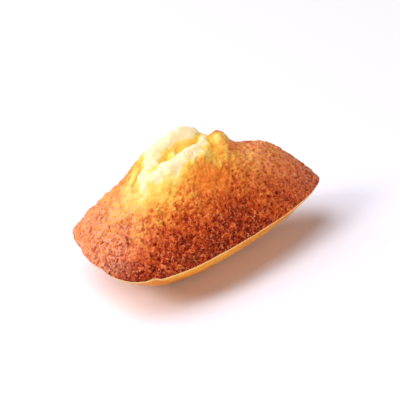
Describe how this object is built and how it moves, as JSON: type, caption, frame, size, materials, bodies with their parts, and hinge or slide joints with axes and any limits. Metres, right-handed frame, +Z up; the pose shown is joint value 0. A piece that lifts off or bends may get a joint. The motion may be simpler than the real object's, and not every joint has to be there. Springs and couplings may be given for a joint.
{
  "type": "madeleine cake",
  "caption": "Shell-shaped sponge cake, fluted underneath, with a browned domed top and a split hump.",
  "frame": {"origin": "on the table, under the middle of the cake's length and width", "axes": "+X from the wide fan end to the narrow tip, +Z up through the risen hump, shell side down"},
  "size_m": [0.078, 0.0456, 0.0402],
  "materials": {
    "baked_sponge": null
  },
  "bodies": {
    "root": {"madeleine": "baked_sponge"}
  },
  "joints": []
}
